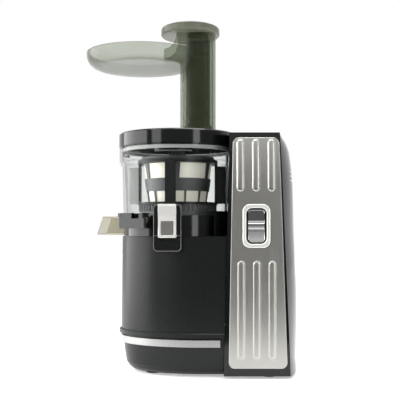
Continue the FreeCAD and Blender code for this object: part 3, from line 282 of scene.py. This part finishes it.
def slab(name, outline, place, depth, slot, body):
    """A plate: an outline whose points place() puts in space, from 0 to depth."""
    count = len(outline)
    verts = [place(x, z, 0.0) for x, z in outline] + [place(x, z, depth) for x, z in outline]
    faces = [tuple(range(count)), tuple(range(2 * count - 1, count - 1, -1))]
    for i in range(count):
        j = (i + 1) % count
        faces.append((i, count + i, count + j, j))
    return add_object(name, verts, faces, slot, body, smooth=False)


def rim(name, outer, inner, place, depth, slot, body, replaced=()):
    """A flat frame between two outlines of equal length, from 0 to depth."""
    count = len(outer)
    loops = [(outer, 0.0), (inner, 0.0), (inner, depth), (outer, depth)]
    verts = [place(x, z, d) for loop, d in loops for x, z in loop]
    faces = []
    for k in range(4):
        a, b = k * count, (k + 1) % 4 * count
        for i in range(count):
            j = (i + 1) % count
            faces.append((a + i, a + j, b + j, b + i))
    return add_object(name, verts, faces, slot, body, replaced, smooth=False)


def arc_bar(name, r_in, r_out, low, high, middle, half, slot, body, steps=16):
    """A bar curved about the bowl axis, from middle - half to middle + half degrees."""
    section = [(r_in, low), (r_out, low), (r_out, high), (r_in, high)]
    verts, faces = [], []
    for i in range(steps + 1):
        turn = math.radians(middle + half * (2 * i / steps - 1))
        verts += [(AXIS_X + r * math.cos(turn), r * math.sin(turn), z) for r, z in section]
    for i in range(steps):
        for k in range(4):
            a, b = 4 * i + k, 4 * i + (k + 1) % 4
            faces.append((a, b, b + 4, a + 4))
    faces += [(3, 2, 1, 0), tuple(4 * steps + k for k in range(4))]
    return add_object(name, verts, faces, slot, body, smooth=False)


def grid_shell(rows, columns, skipped=None):
    """Faces of two equal grids of points, front then back, closed around their edge."""
    width = columns + 1
    back = rows * width
    faces = []
    for r in range(rows - 1):
        for c in range(columns):
            a = r * width + c
            quad = (a, a + 1, a + width + 1, a + width)
            if skipped and skipped(quad):
                continue
            faces.append(quad)
            faces.append(tuple(back + k for k in reversed(quad)))
    ring = [r * width for r in range(rows)]
    ring += [(rows - 1) * width + c for c in range(1, width)]
    ring += [r * width + columns for r in range(rows - 2, -1, -1)]
    ring += list(range(columns - 1, 0, -1))
    for k, a in enumerate(ring):
        b = ring[(k + 1) % len(ring)]
        faces.append((a, b, back + b, back + a))
    return faces


# --- side panels with pressed ribs --------------------------------------------------------------
def face_y(z):
    """How far out the column's face is at a height."""
    return COL_HALF - LEAN * max(0.0, (z - BEND_START) / (COL_TOP - BEND_START)) ** 2


def mix(a, b, t):
    """The value a share t of the way from a to b."""
    return a + (b - a) * t


PANEL_LOW, PANEL_HIGH = 12.0, 280.4
# Left and right edge, at the panel's foot and at its top.
PANEL_LEFT, PANEL_RIGHT = (43.6, 48.6), (112.2, 102.6)
PANEL_CORNER, PANEL_ROLL, PANEL_DEPTH = 7.5, 0.9, 1.5
PANEL_COLUMNS, FINE_STEP, COARSE_STEP = 150, 0.5, 2.0
SWITCH_HOLE = (62.0, 89.6, 154.4, 200.2)
# Each group of three ribs: middle, low end and high end.
RIBS = [(75.4, 217.4, 278.0), (76.4, 22.4, 136.8)]
RIB_PITCH, RIB_HALF, RIB_RISE = 18.0, 4.3, 1.45


def rib_rise(x, z):
    """Height of the pressed, rounded ribs at a point of the panel."""
    best = 0.0
    for mid, low, high in RIBS:
        for step in (-1, 0, 1):
            cx = mid + step * RIB_PITCH
            cz = min(max(z, low + RIB_HALF), high - RIB_HALF)
            d = math.hypot(x - cx, z - cz) / RIB_HALF
            if d < 1.0:
                best = max(best, RIB_RISE * math.sqrt(1 - d * d) ** 0.9)
    return best


def panel_limits(z):
    """Left and right edge of the panel at a height, with rounded corners."""
    t = (z - PANEL_LOW) / (PANEL_HIGH - PANEL_LOW)
    left, right = mix(*PANEL_LEFT, t), mix(*PANEL_RIGHT, t)
    r = PANEL_CORNER
    for dz in (z - PANEL_LOW, PANEL_HIGH - z):
        if dz < r:
            inset = r - math.sqrt(max(0.0, r * r - (r - dz) ** 2))
            left, right = left + inset, right - inset
    return left, right


def make_panel(name, side, replaced, hole=None):
    """A pressed metal panel: a fine grid that follows the face, with ribs and a rolled edge."""
    levels = []
    z = PANEL_LOW
    while z < PANEL_HIGH - 0.01:
        near_end = min(z - PANEL_LOW, PANEL_HIGH - z) < 9
        near_rib = any(min(abs(z - low), abs(z - high)) < 6 for _, low, high in RIBS)
        levels.append(z)
        z += FINE_STEP if near_end or near_rib else COARSE_STEP
    levels.append(PANEL_HIGH)
    verts = []
    for z in levels:
        left, right = panel_limits(z)
        edge_z = min(z - PANEL_LOW, PANEL_HIGH - z)
        for i in range(PANEL_COLUMNS + 1):
            x = mix(left, right, i / PANEL_COLUMNS)
            edge = min(x - left, right - x, edge_z)
            inward = 1 - min(edge, PANEL_ROLL) / PANEL_ROLL
            roll = PANEL_ROLL * (1 - math.sqrt(max(0.0, 1 - inward ** 2)))
            y = face_y(z) - roll + rib_rise(x, z)
            verts.append((x, side * y, z))
    for x, y, z in verts[:]:
        verts.append((x, side * (face_y(z) - PANEL_DEPTH), z))

    def in_hole(quad):
        if not hole:
            return False
        mid_x = sum(verts[k][0] for k in quad) / 4
        mid_z = sum(verts[k][2] for k in quad) / 4
        return hole[0] < mid_x < hole[1] and hole[2] < mid_z < hole[3]

    faces = grid_shell(len(levels), PANEL_COLUMNS, in_hole)
    return add_object(name, verts, faces, "brushed_silver", "chassis", replaced)


make_panel("front_panel_pressed", -1, ["front_panel"], SWITCH_HOLE)
make_panel("far_panel_pressed", 1, ["far_panel"])

# --- switch: rounded frame, dark surround and dished rocker -------------------------------------
SWITCH_X, SWITCH_Z = 75.8, 177.3


def on_switch(y_front):
    """Placing function for flat pieces of the switch; depth runs into the column."""
    return lambda x, z, d: (SWITCH_X + x, -y_front + d, SWITCH_Z + z)


def make_switch():
    """The switch's bright frame and the dark surround inside it."""
    frame_piece = rim("switch_frame_rounded", rounded_outline(32.0, 50.4, 8.2),
                      rounded_outline(23.6, 41.4, 7.0), on_switch(74.9), 2.7,
                      "bright_silver", "chassis", ["switch_frame"])
    bevelled(frame_piece, 1.1, segments=4)
    surround = rim("switch_surround", rounded_outline(23.7, 41.5, 7.0),
                   rounded_outline(21.9, 39.0, 5.8), on_switch(73.9), 2.4,
                   "gloss_black", "chassis")
    bevelled(surround, 0.3)


def make_rocker():
    """The rocker's dished chrome face with rounded ends."""
    half_w, half_h, corner, rows, columns = 10.7, 19.2, 5.4, 48, 24
    rolled, back_y = 1.4, -66.4
    verts = []
    for r in range(rows + 1):
        z = half_h * (2 * r / rows - 1)
        over = max(0.0, abs(z) - (half_h - corner))
        width = half_w - corner + math.sqrt(max(0.0, corner ** 2 - over ** 2))
        for c in range(columns + 1):
            x = width * (2 * c / columns - 1)
            edge = min(width - abs(x), half_h - abs(z), rolled) / rolled
            dish = 70.7 + 2.5 * (abs(z) / half_h) ** 1.6
            ridge = 0.7 * math.exp(-((abs(z) - 4.0) / 1.1) ** 2)
            y = dish + ridge - 1.2 * (1 - math.sqrt(1 - (1 - edge) ** 2))
            verts.append((SWITCH_X + x, -y, SWITCH_Z + z))
    verts += [(x, back_y, z) for x, _, z in verts]
    faces = grid_shell(rows + 1, columns)
    add_object("switch_rocker_dished", verts, faces, "chrome", "switch_rocker",
               ["switch_rocker"])


make_switch()
make_rocker()

# --- latches: folded bright tab, framed plate and a silver strip painting the seat edge's highlight ---
LATCH_X, TAB_LOW, TAB_HIGH = -27.3, 186.0, 202.4
PLATE_Z, SEAT_Z, SEAT_Y = 174.8, 175.0, 70.5


def make_latch(side, label):
    """The bright pieces on one latch lever, and a thin silver strip around its seat that paints a
    highlight on the seat's edge.
    """
    body = f"latch_{label}"

    def plate_at(y):
        """Placing function for flat pieces of the lever's plate."""
        return lambda x, z, d: (LATCH_X + x, side * (y + d), PLATE_Z + z)

    def tab_at(x, z, d):
        """Places a point on the tab, which leans out towards its top."""
        height = (TAB_LOW + TAB_HIGH) / 2 + z
        return (LATCH_X + x, side * (75.45 + 4.0 * (height - 185.6) / 16.8 + d), height)

    def lip_at(x, z, d):
        """Places a point on the lip along the tab's upper edge."""
        return tab_at(x, z + 7.1, d)

    def seat_at(x, z, d):
        """Places a point on the seat, which stays on the bowl collar."""
        return (LATCH_X + x, side * (SEAT_Y + d), SEAT_Z + z)

    frame_piece = rim(f"latch_frame_{label}", rounded_outline(20.6, 21.6, 3.0),
                      rounded_outline(15.2, 16.4, 1.8), plate_at(75.3), 0.9,
                      "bright_silver", body)
    bevelled(frame_piece, 0.4)
    slab(f"latch_inset_{label}", rounded_outline(15.4, 16.6, 1.8), plate_at(74.6), 0.5,
         "brushed_silver", body)
    tab = slab(f"latch_tab_{label}", rounded_outline(20.8, 16.4, 2.4), tab_at, 0.9,
               "bright_silver", body)
    bevelled(tab, 0.45)
    lip = slab(f"latch_lip_{label}", rounded_outline(20.8, 2.2, 1.0), lip_at, 1.5,
               "bright_silver", body)
    bevelled(lip, 0.5)
    # The seat's edge strip is a painted highlight: a thin silver line standing in for light
    # caught on the seat's edge.
    edge = rim(f"latch_edge_painted_highlight_{label}", rounded_outline(32.1, 54.1, 4.6),
               rounded_outline(31.1, 53.1, 4.1), seat_at, 0.45, "silver_plastic", "chassis")
    bevelled(edge, 0.15, segments=2)


for side, label in ((-1, "front"), (1, "back")):
    make_latch(side, label)

# --- twist-lock ramps inside the clear rim ------------------------------------------------------
RAMP_IN, RAMP_OUT, RAMP_LOW, RAMP_HIGH, STOP_HIGH = 66.4, 69.1, 264.6, 266.0, 268.0
for i in range(4):
    way = -91.0 + 90.0 * i
    ramp = arc_bar(f"lid_ramp_{i}", RAMP_IN, RAMP_OUT, RAMP_LOW, RAMP_HIGH, way, 16.5,
                   "grey_plastic", "lid")
    bevelled(ramp, 0.3)
    stop = arc_bar(f"lid_stop_{i}", RAMP_IN, RAMP_OUT, RAMP_LOW, STOP_HIGH, way - 18.5, 2.0,
                   "grey_plastic", "lid", 3)
    bevelled(stop, 0.3)

# --- softened edges on the moulded parts --------------------------------------------------------
ROUNDED = {
    "base_housing": 0.7, "trim_strip": 1.6, "column_housing": 2.0, "column_cap": 1.0,
    "latch_seat_front": 0.8, "latch_seat_back": 0.8, "latch_lever_front": 0.5,
    "latch_lever_back": 0.5, "juice_gate": 1.1, "gate_bracket": 0.8, "pulp_chute": 0.7,
    "bowl_collar": 0.6, "wiper_frame": 0.6, "wiper_ring": 0.3, "wiper_blade": 0.4, "hopper": 0.8,
    "pusher": 0.6, "lid_ring": 0.5, "rubber_feet": 0.4, "bowl": 0.5, "strainer_frame": 0.4,
    "auger": 0.5, "rear_cover": 0.5,
}
for name, width in ROUNDED.items():
    bevelled(NODES[name], width)

# --- stage, light and camera --------------------------------------------------------------------
scene = bpy.context.scene


def floor_material():
    """Pale table top."""
    return surface("pale_floor", (0.86, 0.86, 0.86), 0.55, grain=120.0, variation=0.01,
                   specular=0.2, glow=0.46)


FLOOR_HALF, FLOOR_FRONT, FLOOR_BACK = 4, -0.36, 5
floor_corners = [(-FLOOR_HALF, FLOOR_FRONT, 0), (FLOOR_HALF, FLOOR_FRONT, 0),
                 (FLOOR_HALF, FLOOR_BACK, 0), (-FLOOR_HALF, FLOOR_BACK, 0)]
floor_mesh = bpy.data.meshes.new("floor")
floor_mesh.from_pydata(floor_corners, [], [(0, 1, 2, 3)])
floor_mesh.materials.append(floor_material())
floor = bpy.data.objects.new("floor", floor_mesh)
scene.collection.objects.link(floor)


def area_light(name, place, target, width, height, power):
    """A soft rectangular light aimed at a point."""
    data = bpy.data.lights.new(name, "AREA")
    data.shape = "RECTANGLE"
    data.size, data.size_y = width, height
    data.energy = power
    lamp = bpy.data.objects.new(name, data)
    lamp.location = place
    lamp.rotation_euler = (Vector(target) - Vector(place)).to_track_quat("-Z", "Y").to_euler()
    lamp.visible_camera = False
    scene.collection.objects.link(lamp)


area_light("left_softbox", (-1.45, 0.05, 0.6), (0, 0, 0.25), 1.9, 1.3, 34.0)
area_light("left_front_softbox", (-0.95, -1.15, 0.75), (0, 0, 0.2), 0.5, 1.1, 6.0)
area_light("right_softbox", (0.92, -1.25, 0.45), (0, 0, 0.2), 0.35, 1.1, 5.0)
area_light("top_softbox", (0.0, -0.1, 1.5), (0, 0, 0.2), 1.2, 1.0, 14.0)


def make_world():
    """A white studio behind the object and a dim one in front, brighter high up."""
    world = bpy.data.worlds.new("studio")
    world.use_nodes = True
    tree = world.node_tree
    tree.nodes.clear()
    out = tree.nodes.new("ShaderNodeOutputWorld")
    lit = tree.nodes.new("ShaderNodeBackground")
    white = tree.nodes.new("ShaderNodeBackground")
    white.inputs["Color"].default_value = (1.0, 1.0, 1.0, 1.0)
    white.inputs["Strength"].default_value = 1.0
    lit.inputs["Color"].default_value = (1.0, 1.0, 1.0, 1.0)
    coords = tree.nodes.new("ShaderNodeTexCoord")
    split = tree.nodes.new("ShaderNodeSeparateXYZ")
    tree.links.new(coords.outputs["Generated"], split.inputs["Vector"])

    def eased(value, start, end, low, high):
        """Maps a direction's part smoothly to a brightness."""
        r = tree.nodes.new("ShaderNodeMapRange")
        r.interpolation_type = "SMOOTHSTEP"
        r.inputs["From Min"].default_value = start
        r.inputs["From Max"].default_value = end
        r.inputs["To Min"].default_value = low
        r.inputs["To Max"].default_value = high
        tree.links.new(value, r.inputs["Value"])
        return r.outputs["Result"]

    below = eased(split.outputs["Z"], -0.12, 0.08, 0.10, 0.34)
    above = eased(split.outputs["Z"], 0.22, 0.55, 0.0, 0.58)
    behind = eased(split.outputs["Y"], -0.12, 0.32, 0.0, 1.0)
    front = tree.nodes.new("ShaderNodeMath")
    front.operation = "ADD"
    tree.links.new(below, front.inputs[0])
    tree.links.new(above, front.inputs[1])
    blend = tree.nodes.new("ShaderNodeMix")
    blend.inputs["B"].default_value = 0.97
    tree.links.new(behind, blend.inputs["Factor"])
    tree.links.new(front.outputs["Value"], blend.inputs["A"])
    tree.links.new(blend.outputs["Result"], lit.inputs["Strength"])
    path = tree.nodes.new("ShaderNodeLightPath")
    pick = tree.nodes.new("ShaderNodeMixShader")
    tree.links.new(path.outputs["Is Camera Ray"], pick.inputs["Fac"])
    tree.links.new(lit.outputs["Background"], pick.inputs[1])
    tree.links.new(white.outputs["Background"], pick.inputs[2])
    tree.links.new(pick.outputs["Shader"], out.inputs["Surface"])
    return world


scene.world = make_world()

camera_data = bpy.data.cameras.new("camera")
camera_data.sensor_width = 36.0
camera_data.lens = 72.3
camera_data.shift_y = 0.0775
camera = bpy.data.objects.new("camera", camera_data)
camera.location = (0.0106, -1.0, 0.1715)
camera.rotation_euler = (math.radians(90), 0, 0)
scene.collection.objects.link(camera)
scene.camera = camera
scene.view_settings.view_transform = "Standard"
